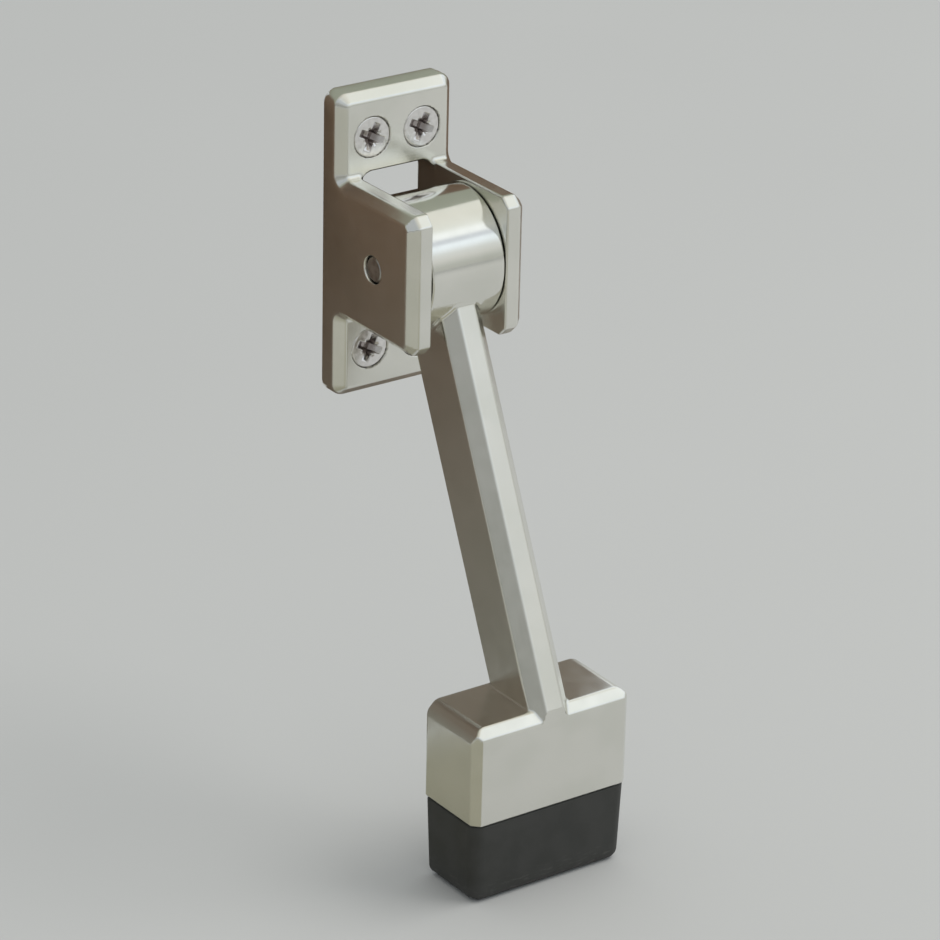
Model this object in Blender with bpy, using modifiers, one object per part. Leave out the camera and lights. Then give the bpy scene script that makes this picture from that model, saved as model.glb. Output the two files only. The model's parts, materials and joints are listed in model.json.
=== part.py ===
"""Kick-down floor door holder.

A cast bracket is screwed to the face of a door. Its two ears carry a lever arm on a pivot pin, and
the arm ends in a foot with a rubber block that stands on the floor and holds the door. Two balls
with a spring between them sit in a cross hole of the arm's hub. They click into dimples in the
ears, which keeps the arm down or folded up.

Frame: the origin is on the door's face, midway between the two upper screws. +X runs to the right
seen from the room, +Y runs into the door and +Z runs up. The room is on the -Y side.
"""

import math

import bmesh
import bpy
from mathutils import Matrix, Vector

MM = 0.001
RIGHT_ANGLE = math.pi / 2

GAP = 0.3 * MM                  # between two pieces that touch
RUNNING = 0.2 * MM              # between the pivot pin and what turns on it
PAST = 1.0 * MM                 # how far a cutter reaches past the faces it cuts through

PLATE_WIDTH = 27.0 * MM
PLATE_HEIGHT = 63.0 * MM
PLATE_THICKNESS = 5.7 * MM
PLATE_CORNER = 2.7 * MM
PLATE_CHAMFER = 1.9 * MM

SCREW_X = 5.8 * MM              # each mounting screw's distance from the middle plane
SCREW_ROWS = 44.0 * MM          # from the upper pair of screws to the lower pair
PIVOT = Vector((0.0, -17.5 * MM, -SCREW_ROWS / 2))

EAR_THICKNESS = 4.9 * MM
EAR_FRONT = -30.9 * MM
EAR_ROOT = -2.0 * MM            # the ears start inside the plate
EAR_TOP = 14.3 * MM             # above the pivot
EAR_BOTTOM = -14.4 * MM
EAR_CHAMFER = 2.0 * MM
EAR_GAP = PLATE_WIDTH / 2 - EAR_THICKNESS    # from the middle plane to an ear's inner face
WINDOW_HEIGHT = 30.0 * MM
WINDOW_CORNER = 3.0 * MM

PIN_RADIUS = 2.6 * MM
PIN_SUNK = 0.3 * MM             # the pin's ends lie this far below the ears' outer faces
PIN_BEVEL = 0.4 * MM

HUB_RADIUS = 13.4 * MM
HUB_WIDTH = 16.3 * MM
HUB_SEAT = 7.8 * MM             # from the middle plane to the seat of each thrust washer
HUB_BEVEL = 0.5 * MM
BUSH_RADIUS = 4.0 * MM
BUSH_LENGTH = 7.2 * MM
THRUST_RADIUS = 6.0 * MM
THRUST_THICKNESS = 0.4 * MM

ARM_LEAN = math.radians(24.2)   # from straight down, towards the room
ARM_WIDTH = 9.2 * MM
ARM_FRONT = 8.85 * MM           # the arm's front face, measured square to the arm from the pivot
ARM_BACK = 6.9 * MM
ARM_LENGTH = 95.0 * MM          # long enough to reach into the foot, which trims it
ARM_FRONT_CHAMFER = 2.6 * MM
ARM_BACK_CHAMFER = 1.7 * MM
ARM_INSET = 0.03 * MM           # the arm's lower end lies this far behind the foot's front

# The foot's heights and depths are measured from the pivot.
FOOT_WIDTH = 37.3 * MM
FOOT_FRONT = -45.25 * MM
FOOT_BACK = -27.9 * MM
FOOT_TOP = -79.2 * MM
FOOT_RIM = -99.9 * MM
FOOT_CORNER = 1.6 * MM          # the chamfer down the foot's two front corners
FOOT_CHAMFER = 2.05 * MM        # the chamfer round the front and the ends of the foot's top
FOOT_BACK_BEVEL = 0.6 * MM
FOOT_ROOF = -87.9 * MM          # the ceiling of the pocket that takes the rubber block's plug
POCKET_WIDTH = 31.0 * MM
POCKET_DEPTH = 11.2 * MM
POCKET_CORNER = 1.5 * MM
FOOT_MIDDLE = (FOOT_FRONT + FOOT_BACK) / 2

SOLE = -117.3 * MM              # the floor, below the pivot
SOLE_WIDTH = 35.8 * MM
SOLE_DEPTH = 15.9 * MM
RUBBER_CORNER = 2.4 * MM        # down the block's two front corners
RUBBER_ROUND = 1.2 * MM         # round its sole
GROOVES = 4
GROOVE_WIDTH = 1.4 * MM
GROOVE_DEPTH = 0.8 * MM
GROOVE_PITCH = 4.0 * MM

INSERT_WIDTH = 28.0 * MM
INSERT_DEPTH = 10.0 * MM
INSERT_THICKNESS = 1.5 * MM
INSERT_TOP = -104.3 * MM
INSERT_CORNER = 1.0 * MM
FOOT_SCREW_X = 8.5 * MM
FOOT_SCREW_RADIUS = 2.0 * MM
FOOT_SCREW_HEAD_RADIUS = 3.7 * MM
FOOT_SCREW_HEAD_HEIGHT = 2.6 * MM
FOOT_SCREW_HEAD_CHAMFER = 0.8 * MM
FOOT_SCREW_RECESS = (4.2 * MM, 1.0 * MM, 1.4 * MM)      # length, width and depth
FOOT_SCREW_LENGTH = 24.0 * MM
FOOT_SCREW_TAPPED = -82.2 * MM  # the top of the blind holes in the foot
LOCK_WASHER_RADIUS = 3.6 * MM
LOCK_WASHER_THICKNESS = 0.9 * MM
LOCK_WASHER_SPLIT = 0.7 * MM
COUNTERBORE_RADIUS = 4.4 * MM

BALL_RADIUS = 2.0 * MM
BALL_ORBIT = 9.5 * MM           # from the pivot's axis to the balls' common axis
BALL_HOLE_RADIUS = BALL_RADIUS + GAP
BALL_X = EAR_GAP - GAP - BALL_RADIUS
DIMPLE_RADIUS = 2.2 * MM
DIMPLE_DEPTH = 0.5 * MM
FOLDED_UP = math.pi - ARM_LEAN  # the arm's turn from its lowered place to straight up

SPRING_RADIUS = 1.6 * MM
SPRING_WIRE_RADIUS = 0.25 * MM
SPRING_TURNS = 6
SPRING_POINTS_PER_TURN = 10
SPRING_HALF_LENGTH = BALL_X - BALL_RADIUS - GAP - SPRING_WIRE_RADIUS

WOOD_SCREW_HEAD_RADIUS = 4.1 * MM
WOOD_SCREW_HEAD_RIM = 0.4 * MM
WOOD_SCREW_HEAD_CONE = 2.0 * MM
WOOD_SCREW_SHANK_RADIUS = 2.1 * MM
WOOD_SCREW_LENGTH = 16.0 * MM
WOOD_SCREW_TIP = 4.0 * MM
WOOD_SCREW_RECESS = (6.0 * MM, 1.6 * MM, 2.1 * MM)      # length, width and depth
RECESS_TAPER = 0.5              # a recess's length at its bottom, as a share of its full length
RECESS_TURN = math.radians(-25)

ROUND_STEPS = 48
SMALL_STEPS = 24
SPHERE_RINGS = 12
SMOOTH_ANGLE = math.radians(35)
MERGE = 0.00001

FINISHES = {
    # name: colour, roughness, metallic
    "satin_nickel": ((0.60, 0.61, 0.58), 0.34, 1.0),
    "polished_steel": ((0.78, 0.77, 0.75), 0.16, 1.0),
    "screw_steel": ((0.72, 0.70, 0.68), 0.25, 1.0),
    "spring_steel": ((0.42, 0.42, 0.43), 0.40, 1.0),
    "bush_bronze": ((0.62, 0.42, 0.20), 0.45, 1.0),
    "nylon": ((0.85, 0.84, 0.80), 0.55, 0.0),
    "rubber": ((0.045, 0.045, 0.040), 0.75, 0.0),
}


def clear_scene():
    for item in list(bpy.data.objects):
        bpy.data.objects.remove(item, do_unlink=True)


def new_collection(name):
    collection = bpy.data.collections.new(name)
    bpy.context.scene.collection.children.link(collection)
    return collection


def finish_material(name):
    """Returns the named finish, which is made the first time it is asked for."""
    if name in bpy.data.materials:
        return bpy.data.materials[name]
    colour, roughness, metallic = FINISHES[name]
    material = bpy.data.materials.new(name)
    material.use_nodes = True
    shader = material.node_tree.nodes["Principled BSDF"]
    shader.inputs["Base Color"].default_value = (*colour, 1.0)
    shader.inputs["Roughness"].default_value = roughness
    shader.inputs["Metallic"].default_value = metallic
    material.diffuse_color = (*colour, 1.0)
    return material


def new_empty(name, location):
    empty = bpy.data.objects.new(name, None)
    empty.location = location
    MODEL.objects.link(empty)
    return empty


def mesh_from(name, shape):
    """Turns a bmesh into a mesh with round pieces shaded smooth."""
    mesh = bpy.data.meshes.new(name)
    bmesh.ops.recalc_face_normals(shape, faces=shape.faces)
    shape.to_mesh(mesh)
    shape.free()
    mesh.shade_smooth()
    mesh.set_sharp_from_angle(angle=SMOOTH_ANGLE)
    return mesh


def add_part(name, mesh, finish, parent=None, location=(0, 0, 0), rotation=(0, 0, 0)):
    """Adds one sub-part to the model. Its place is measured from its parent."""
    part = bpy.data.objects.new(name, mesh)
    MODEL.objects.link(part)
    part.parent = parent
    part.location = location
    part.rotation_euler = rotation
    mesh.materials.clear()
    mesh.materials.append(finish_material(finish))
    return part


def add_cutter(name, mesh, parent=None, location=(0, 0, 0), rotation=(0, 0, 0)):
    """Adds a solid that is only there to be cut from or joined to a part."""
    cutter = bpy.data.objects.new(name, mesh)
    CUTTERS.objects.link(cutter)
    cutter.parent = parent
    cutter.location = location
    cutter.rotation_euler = rotation
    cutter.hide_render = True
    cutter.display_type = "WIRE"
    return cutter


def boolean(part, operation, tool):
    modifier = part.modifiers.new(f"{operation.lower()} {tool.name}", "BOOLEAN")
    modifier.operation = operation
    modifier.solver = "EXACT"
    modifier.object = tool


def join(part, tool):
    boolean(part, "UNION", tool)


def cut(part, tool):
    boolean(part, "DIFFERENCE", tool)


def box(low, high):
    """A bmesh box between two corners."""
    low = Vector(low)
    high = Vector(high)
    size = high - low
    place = Matrix.Translation((low + high) / 2) @ Matrix.Diagonal((*size, 1.0))
    shape = bmesh.new()
    bmesh.ops.create_cube(shape, size=1.0, matrix=place)
    return shape


def bevel(shape, width, chosen, segments=1):
    """Bevels the edges for which chosen(edge) is true."""
    edges = [edge for edge in shape.edges if chosen(edge)]
    bmesh.ops.bevel(
        shape, geom=edges, offset=width, offset_type="OFFSET", segments=segments,
        profile=0.5, affect="EDGES", clamp_overlap=False,
    )


def runs_along(axis):
    """Chooses the edges that run along an axis, 0 for X, 1 for Y and 2 for Z."""
    def chosen(edge):
        along = edge.verts[0].co - edge.verts[1].co
        return all(abs(along[other]) < MERGE for other in range(3) if other != axis)
    return chosen


def lies_at(**planes):
    """Chooses the edges that lie on every plane given, such as x=0.01."""
    def chosen(edge):
        return all(
            abs(vertex.co["xyz".index(axis)] - value) < MERGE
            for axis, value in planes.items() for vertex in edge.verts
        )
    return chosen


def cylinder_along_x(radius, length, steps=ROUND_STEPS):
    shape = bmesh.new()
    bmesh.ops.create_cone(
        shape, cap_ends=True, segments=steps, radius1=radius, radius2=radius, depth=length,
        matrix=Matrix.Rotation(RIGHT_ANGLE, 4, "Y"),
    )
    return shape


def cylinder_along_z(radius, low, high, x, y, steps=SMALL_STEPS):
    shape = bmesh.new()
    bmesh.ops.create_cone(
        shape, cap_ends=True, segments=steps, radius1=radius, radius2=radius,
        depth=high - low, matrix=Matrix.Translation((x, y, (low + high) / 2)),
    )
    return shape


def bevel_rims(shape, width, segments=1):
    """Bevels the round edges of a cylinder along X."""
    long_edge = runs_along(0)
    bevel(shape, width, lambda edge: not long_edge(edge), segments)


def turned_mesh(name, profile, steps=SMALL_STEPS, closed=False):
    """A solid turned about Z. The profile is (radius, height) points down its outer side."""
    shape = bmesh.new()
    points = [shape.verts.new((radius, 0.0, height)) for radius, height in profile]
    for upper, lower in zip(points, points[1:]):
        shape.edges.new((upper, lower))
    if closed:
        shape.edges.new((points[-1], points[0]))
    outline = bpy.data.meshes.new(f"{name} outline")
    shape.to_mesh(outline)
    shape.free()
    blank = add_cutter(f"{name} blank", outline)
    screw = blank.modifiers.new("turn", "SCREW")
    screw.axis = "Z"
    screw.angle = 2 * math.pi
    screw.steps = steps
    screw.render_steps = steps
    screw.use_merge_vertices = True
    screw.merge_threshold = MERGE
    return baked(blank, name)


def baked(blank, name):
    """Applies a blank's modifiers to a mesh of its own and removes the blank."""
    graph = bpy.context.evaluated_depsgraph_get()
    mesh = bpy.data.meshes.new_from_object(blank.evaluated_get(graph))
    mesh.name = name
    bpy.data.objects.remove(blank, do_unlink=True)
    mesh.shade_smooth()
    mesh.set_sharp_from_angle(angle=SMOOTH_ANGLE)
    return mesh


def ring_mesh(name, inner, outer, length):
    """A plain ring turned about Z, centred on its own middle."""
    half = length / 2
    profile = [(inner, half), (outer, half), (outer, -half), (inner, -half)]
    return turned_mesh(name, profile, closed=True)


def plate_shape():
    """The mounting plate: rounded corners, and a chamfer round its front face."""
    half = PLATE_WIDTH / 2
    middle = PIVOT.z
    shape = box(
        (-half, -PLATE_THICKNESS, middle - PLATE_HEIGHT / 2),
        (half, 0.0, middle + PLATE_HEIGHT / 2),
    )
    bevel(shape, PLATE_CORNER, runs_along(1), segments=4)
    bevel(shape, PLATE_CHAMFER, lies_at(y=-PLATE_THICKNESS))
    return shape


def ear_shape(side):
    """One ear, on the right for side 1 and on the left for side -1, in its chamfered form."""
    inner = side * EAR_GAP
    outer = side * PLATE_WIDTH / 2
    top = PIVOT.z + EAR_TOP
    bottom = PIVOT.z + EAR_BOTTOM
    shape = box((min(inner, outer), EAR_FRONT, bottom), (max(inner, outer), EAR_ROOT, top))
    corners = [
        lies_at(x=outer, z=top),
        lies_at(x=outer, y=EAR_FRONT),
        lies_at(x=outer, z=bottom),
        lies_at(y=EAR_FRONT, z=top),
        lies_at(y=EAR_FRONT, z=bottom),
    ]
    bevel(shape, EAR_CHAMFER, lambda edge: any(corner(edge) for corner in corners))
    return shape


def window_shape():
    """The opening through the plate behind the hub."""
    half = WINDOW_HEIGHT / 2
    shape = box(
        (-EAR_GAP, -PLATE_THICKNESS - PAST, PIVOT.z - half),
        (EAR_GAP, PAST, PIVOT.z + half),
    )
    bevel(shape, WINDOW_CORNER, runs_along(1), segments=4)
    return shape


def sphere(radius):
    shape = bmesh.new()
    bmesh.ops.create_uvsphere(
        shape, u_segments=SMALL_STEPS, v_segments=SPHERE_RINGS, radius=radius,
    )
    return shape


def ball_place(turn):
    """The balls' axis as seen from the pivot, once the arm has turned up by this angle."""
    lean = ARM_LEAN + turn
    return Vector((0.0, BALL_ORBIT * math.sin(lean), BALL_ORBIT * math.cos(lean)))


def countersink_mesh():
    """The hole for a mounting screw, turned about Z with the plate's front face at 0."""
    head = WOOD_SCREW_HEAD_RADIUS + GAP
    shank = WOOD_SCREW_SHANK_RADIUS + GAP
    rim = WOOD_SCREW_HEAD_RIM
    below = PLATE_THICKNESS + PAST
    profile = [
        (0.0, PAST), (head, PAST), (head, -rim),
        (shank, -rim - (head - shank)), (shank, -below), (0.0, -below),
    ]
    return turned_mesh("countersink", profile)


def screw_places():
    """Each mounting screw's name and the middle of its head on the plate's front face."""
    for row, height in (("upper", 0.0), ("lower", -SCREW_ROWS)):
        for hand, side in (("left", -1), ("right", 1)):
            yield f"{row}_{hand}", Vector((side * SCREW_X, -PLATE_THICKNESS, height))


def build_bracket():
    bracket = add_part("mount_bracket", mesh_from("mount_bracket", plate_shape()), "satin_nickel")
    for side in (1, -1):
        join(bracket, add_cutter(f"ear {side}", mesh_from("ear", ear_shape(side))))
    cut(bracket, add_cutter("window", mesh_from("window", window_shape())))
    bore = cylinder_along_x(PIN_RADIUS + RUNNING, 2 * PLATE_WIDTH, SMALL_STEPS)
    cut(bracket, add_cutter("ear bore", mesh_from("ear bore", bore), location=PIVOT))
    dimple = mesh_from("dimple", sphere(DIMPLE_RADIUS))
    dimple_x = EAR_GAP + DIMPLE_DEPTH - DIMPLE_RADIUS
    for side in (1, -1):
        for turn in (0.0, FOLDED_UP):
            place = PIVOT + ball_place(turn) + Vector((side * dimple_x, 0, 0))
            cut(bracket, add_cutter(f"dimple {side} {turn:.1f}", dimple, location=place))
    countersink = countersink_mesh()
    for name, place in screw_places():
        hole = add_cutter(f"hole {name}", countersink, location=place,
                          rotation=(RIGHT_ANGLE, 0, 0))
        cut(bracket, hole)


def build_pivot_pin():
    length = PLATE_WIDTH - 2 * PIN_SUNK
    shape = cylinder_along_x(PIN_RADIUS, length, SMALL_STEPS)
    bevel_rims(shape, PIN_BEVEL)
    add_part("pivot_pin", mesh_from("pivot_pin", shape), "spring_steel", location=PIVOT)


def build_thrust_washers():
    ring = ring_mesh("thrust_washer", PIN_RADIUS + RUNNING, THRUST_RADIUS, THRUST_THICKNESS)
    middle = (EAR_GAP + HUB_SEAT) / 2
    for hand, side in (("left", -1), ("right", 1)):
        place = PIVOT + Vector((side * middle, 0, 0))
        add_part(f"thrust_washer_{hand}", ring, "nylon", location=place,
                 rotation=(0, RIGHT_ANGLE, 0))


def arm_shape():
    """The arm's bar, with its front edges chamfered more than its back edges."""
    half = ARM_WIDTH / 2
    shape = box((-half, -ARM_FRONT, -ARM_LENGTH), (half, ARM_BACK, 0.0))
    along = runs_along(2)
    front = lies_at(y=-ARM_FRONT)
    back = lies_at(y=ARM_BACK)
    bevel(shape, ARM_FRONT_CHAMFER, lambda edge: along(edge) and front(edge))
    bevel(shape, ARM_BACK_CHAMFER, lambda edge: along(edge) and back(edge))
    return shape


def foot_shape():
    """The foot's outer block. Only its rim, where the rubber starts, has sharp edges."""
    half = FOOT_WIDTH / 2
    shape = box((-half, FOOT_FRONT, FOOT_RIM), (half, FOOT_BACK, FOOT_TOP))
    upright = runs_along(2)
    front = lies_at(y=FOOT_FRONT)
    top = lies_at(z=FOOT_TOP)
    back = lies_at(y=FOOT_BACK)
    rim = lies_at(z=FOOT_RIM)
    bevel(shape, FOOT_CORNER, lambda edge: upright(edge) and front(edge))
    bevel(shape, FOOT_CHAMFER, lambda edge: top(edge) and not back(edge))
    bevel(shape, FOOT_BACK_BEVEL, lambda edge: back(edge) and not rim(edge))
    return shape


def pocket_shape():
    """The pocket in the underside of the foot."""
    half_x = POCKET_WIDTH / 2
    half_y = POCKET_DEPTH / 2
    shape = box(
        (-half_x, FOOT_MIDDLE - half_y, FOOT_RIM - PAST),
        (half_x, FOOT_MIDDLE + half_y, FOOT_ROOF),
    )
    bevel(shape, POCKET_CORNER, runs_along(2), segments=2)
    return shape


def arm_trim_shapes():
    """What lies in front of the foot's front plane, and what lies below the arm's end."""
    end = (FOOT_TOP + FOOT_ROOF) / 2
    half = FOOT_WIDTH
    deep = 2 * ARM_LENGTH
    in_front = box((-half, -deep, -deep), (half, FOOT_FRONT + ARM_INSET, 0.0))
    below = box((-half, -deep, -deep), (half, deep, end))
    return in_front, below


def build_lever_arm(pivot):
    hub_shape = cylinder_along_x(HUB_RADIUS, HUB_WIDTH, 2 * ROUND_STEPS)
    bevel_rims(hub_shape, HUB_BEVEL)
    lever = add_part("lever_arm", mesh_from("lever_arm", hub_shape), "satin_nickel", pivot)
    arm = add_cutter("arm", mesh_from("arm", arm_shape()), pivot, rotation=(-ARM_LEAN, 0, 0))
    for index, shape in enumerate(arm_trim_shapes()):
        cut(arm, add_cutter(f"arm trim {index}", mesh_from("arm trim", shape), pivot))
    foot = add_cutter("foot", mesh_from("foot", foot_shape()), pivot)
    join(lever, arm)
    join(lever, foot)
    cut(lever, add_cutter("pocket", mesh_from("pocket", pocket_shape()), pivot))
    bore = mesh_from("hub bore", cylinder_along_x(BUSH_RADIUS + GAP, 2 * HUB_WIDTH, SMALL_STEPS))
    cut(lever, add_cutter("hub bore", bore, pivot))
    for side in (-1, 1):
        seat = cylinder_along_x(THRUST_RADIUS + GAP, 2 * PAST, SMALL_STEPS)
        place = (side * (HUB_SEAT + PAST), 0, 0)
        cut(lever, add_cutter(f"washer seat {side}", mesh_from("washer seat", seat), pivot,
                              location=place))
    cross = mesh_from("ball hole", cylinder_along_x(BALL_HOLE_RADIUS, 2 * HUB_WIDTH, SMALL_STEPS))
    cut(lever, add_cutter("ball hole", cross, pivot, location=ball_place(0.0)))
    for side in (-1, 1):
        shape = cylinder_along_z(
            FOOT_SCREW_RADIUS + GAP, FOOT_ROOF - PAST, FOOT_SCREW_TAPPED,
            side * FOOT_SCREW_X, FOOT_MIDDLE,
        )
        cut(lever, add_cutter(f"tapped hole {side}", mesh_from("tapped hole", shape), pivot))


def build_bushes(pivot):
    ring = ring_mesh("hub_bush", PIN_RADIUS + RUNNING, BUSH_RADIUS, BUSH_LENGTH)
    middle = HUB_SEAT - BUSH_LENGTH / 2
    for hand, side in (("left", -1), ("right", 1)):
        add_part(f"hub_bush_{hand}", ring, "bush_bronze", pivot, (side * middle, 0, 0),
                 (0, RIGHT_ANGLE, 0))


def build_balls(pivot):
    ball = mesh_from("detent_ball", sphere(BALL_RADIUS))
    for hand, side in (("left", -1), ("right", 1)):
        place = ball_place(0.0) + Vector((side * BALL_X, 0, 0))
        add_part(f"detent_ball_{hand}", ball, "polished_steel", pivot, place)


def build_spring(pivot):
    """The coil spring between the balls, wound along X."""
    curve = bpy.data.curves.new("detent_spring", "CURVE")
    curve.dimensions = "3D"
    curve.bevel_depth = SPRING_WIRE_RADIUS
    curve.bevel_resolution = 2
    curve.use_fill_caps = True
    count = SPRING_TURNS * SPRING_POINTS_PER_TURN + 1
    spline = curve.splines.new("POLY")
    spline.points.add(count - 1)
    for index, point in enumerate(spline.points):
        part_way = index / (count - 1)
        angle = 2 * math.pi * SPRING_TURNS * part_way
        x = SPRING_HALF_LENGTH * (2 * part_way - 1)
        y = SPRING_RADIUS * math.cos(angle)
        z = SPRING_RADIUS * math.sin(angle)
        point.co = (x, y, z, 1.0)
    spring = bpy.data.objects.new("detent_spring", curve)
    MODEL.objects.link(spring)
    spring.parent = pivot
    spring.location = ball_place(0.0)
    curve.materials.append(finish_material("spring_steel"))


def rubber_shape():
    """The rubber block under the foot, which tapers to its sole."""
    half = FOOT_WIDTH / 2
    top = FOOT_RIM - GAP
    shape = box((-half, FOOT_FRONT, SOLE), (half, FOOT_BACK, top))
    for vertex in shape.verts:
        if vertex.co.z < top - MERGE:
            vertex.co.x *= SOLE_WIDTH / FOOT_WIDTH
            depth = vertex.co.y - FOOT_MIDDLE
            vertex.co.y = FOOT_MIDDLE + depth * SOLE_DEPTH / (FOOT_BACK - FOOT_FRONT)
    level = [lies_at(z=top), lies_at(z=SOLE)]

    def front_corner(edge):
        in_front = all(vertex.co.y < FOOT_MIDDLE for vertex in edge.verts)
        return in_front and not any(plane(edge) for plane in level)

    bevel(shape, RUBBER_CORNER, front_corner, segments=3)
    bevel(shape, RUBBER_ROUND, lies_at(z=SOLE), segments=2)
    return shape


def plug_shape():
    """The rubber block's plug, which fills the foot's pocket."""
    half_x = POCKET_WIDTH / 2 - GAP
    half_y = POCKET_DEPTH / 2 - GAP
    shape = box(
        (-half_x, FOOT_MIDDLE - half_y, FOOT_RIM - GAP - PAST),
        (half_x, FOOT_MIDDLE + half_y, FOOT_ROOF - GAP),
    )
    bevel(shape, POCKET_CORNER - GAP, runs_along(2), segments=2)
    return shape


def insert_shape(clearance=0.0):
    """The steel plate inside the rubber, or the space for it with some clearance."""
    half_x = INSERT_WIDTH / 2 + clearance
    half_y = INSERT_DEPTH / 2 + clearance
    shape = box(
        (-half_x, FOOT_MIDDLE - half_y, INSERT_TOP - INSERT_THICKNESS - clearance),
        (half_x, FOOT_MIDDLE + half_y, INSERT_TOP + clearance),
    )
    bevel(shape, INSERT_CORNER, runs_along(2))
    return shape


def build_rubber_foot(pivot):
    rubber = add_part("rubber_foot", mesh_from("rubber_foot", rubber_shape()), "rubber", pivot)
    join(rubber, add_cutter("plug", mesh_from("plug", plug_shape()), pivot))
    cut(rubber, add_cutter("insert space", mesh_from("insert space", insert_shape(GAP)), pivot))
    for side in (-1, 1):
        x = side * FOOT_SCREW_X
        through = cylinder_along_z(FOOT_SCREW_RADIUS + GAP, INSERT_TOP - PAST,
                                   FOOT_ROOF + PAST, x, FOOT_MIDDLE)
        cut(rubber, add_cutter(f"rubber hole {side}", mesh_from("rubber hole", through), pivot))
        wide = cylinder_along_z(COUNTERBORE_RADIUS, SOLE - PAST,
                                INSERT_TOP - INSERT_THICKNESS, x, FOOT_MIDDLE)
        cut(rubber, add_cutter(f"counterbore {side}", mesh_from("counterbore", wide), pivot))
    for index in range(GROOVES):
        y = FOOT_MIDDLE + (index - (GROOVES - 1) / 2) * GROOVE_PITCH
        groove = box((-FOOT_WIDTH, y - GROOVE_WIDTH / 2, SOLE - PAST),
                     (FOOT_WIDTH, y + GROOVE_WIDTH / 2, SOLE + GROOVE_DEPTH))
        cut(rubber, add_cutter(f"groove {index}", mesh_from("groove", groove), pivot))


def build_foot_insert(pivot):
    insert = add_part("foot_insert_plate", mesh_from("foot_insert_plate", insert_shape()),
                      "spring_steel", pivot)
    for side in (-1, 1):
        shape = cylinder_along_z(
            FOOT_SCREW_RADIUS + GAP, INSERT_TOP - INSERT_THICKNESS - PAST, INSERT_TOP + PAST,
            side * FOOT_SCREW_X, FOOT_MIDDLE,
        )
        cut(insert, add_cutter(f"insert hole {side}", mesh_from("insert hole", shape), pivot))


def lock_washer_mesh():
    """A ring that is split through on one side, so that it grips the screw's head."""
    ring = ring_mesh("lock_washer", FOOT_SCREW_RADIUS + GAP, LOCK_WASHER_RADIUS,
                     LOCK_WASHER_THICKNESS)
    blank = add_cutter("lock washer blank", ring)
    half = LOCK_WASHER_SPLIT / 2
    split = box((FOOT_SCREW_RADIUS, -half, -LOCK_WASHER_THICKNESS),
                (LOCK_WASHER_RADIUS + PAST, half, LOCK_WASHER_THICKNESS))
    tool = add_cutter("washer split", mesh_from("washer split", split))
    cut(blank, tool)
    mesh = baked(blank, "lock_washer")
    bpy.data.objects.remove(tool, do_unlink=True)
    return mesh


def cross_recess(blank, length, width, depth):
    """Cuts a cross recess into the top of a screw blank and returns the cutters."""
    tools = []
    for index, turn in enumerate((0.0, RIGHT_ANGLE)):
        shape = box((-length / 2, -width / 2, -depth), (length / 2, width / 2, depth))
        for vertex in shape.verts:
            vertex.co.x *= RECESS_TAPER if vertex.co.z < 0 else 2 - RECESS_TAPER
        tool = add_cutter(f"recess {index}", mesh_from("recess", shape), rotation=(0, 0, turn))
        cut(blank, tool)
        tools.append(tool)
    return tools


def finished_screw(name, profile, recess):
    """A turned screw blank with a cross recess, as one mesh. Its head's top is at height 0."""
    blank = add_cutter("screw blank", turned_mesh(name, profile))
    tools = cross_recess(blank, *recess)
    mesh = baked(blank, name)
    for tool in tools:
        bpy.data.objects.remove(tool, do_unlink=True)
    return mesh


def build_foot_screws(pivot):
    """Screws and lock washers that hold the rubber block up against the foot."""
    washer = lock_washer_mesh()
    washer_z = INSERT_TOP - INSERT_THICKNESS - GAP - LOCK_WASHER_THICKNESS / 2
    under_head = washer_z - LOCK_WASHER_THICKNESS / 2 - GAP
    head = FOOT_SCREW_HEAD_RADIUS
    height = FOOT_SCREW_HEAD_HEIGHT
    chamfer = FOOT_SCREW_HEAD_CHAMFER
    end = height + FOOT_SCREW_LENGTH
    profile = [
        (0.0, 0.0), (head - chamfer, 0.0), (head, -chamfer), (head, -height),
        (FOOT_SCREW_RADIUS, -height), (FOOT_SCREW_RADIUS, -end), (0.0, -end),
    ]
    screw = finished_screw("foot_screw", profile, FOOT_SCREW_RECESS)
    for hand, side in (("left", -1), ("right", 1)):
        x = side * FOOT_SCREW_X
        add_part(f"lock_washer_{hand}", washer, "spring_steel", pivot, (x, FOOT_MIDDLE, washer_z))
        add_part(f"foot_screw_{hand}", screw, "screw_steel", pivot,
                 (x, FOOT_MIDDLE, under_head - height), (2 * RIGHT_ANGLE, 0, 0))


def build_mounting_screws():
    """Countersunk wood screws through the plate into the door."""
    head = WOOD_SCREW_HEAD_RADIUS
    shank = WOOD_SCREW_SHANK_RADIUS
    rim = WOOD_SCREW_HEAD_RIM
    profile = [
        (0.0, 0.0), (head, 0.0), (head, -rim), (shank, -rim - WOOD_SCREW_HEAD_CONE),
        (shank, WOOD_SCREW_TIP - WOOD_SCREW_LENGTH), (0.0, -WOOD_SCREW_LENGTH),
    ]
    screw = finished_screw("mounting_screw", profile, WOOD_SCREW_RECESS)
    for name, place in screw_places():
        part = add_part(f"mounting_screw_{name}", screw, "screw_steel", location=place)
        part.rotation_euler = (Matrix.Rotation(RIGHT_ANGLE, 3, "X")
                               @ Matrix.Rotation(RECESS_TURN, 3, "Z")).to_euler()


clear_scene()
MODEL = new_collection("floor_door_holder")
CUTTERS = new_collection("cutters")
ARM_PIVOT = new_empty("arm_pivot", PIVOT)
build_bracket()
build_pivot_pin()
build_thrust_washers()
build_mounting_screws()
build_lever_arm(ARM_PIVOT)
build_bushes(ARM_PIVOT)
build_balls(ARM_PIVOT)
build_spring(ARM_PIVOT)
build_rubber_foot(ARM_PIVOT)
build_foot_insert(ARM_PIVOT)
build_foot_screws(ARM_PIVOT)
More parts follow.
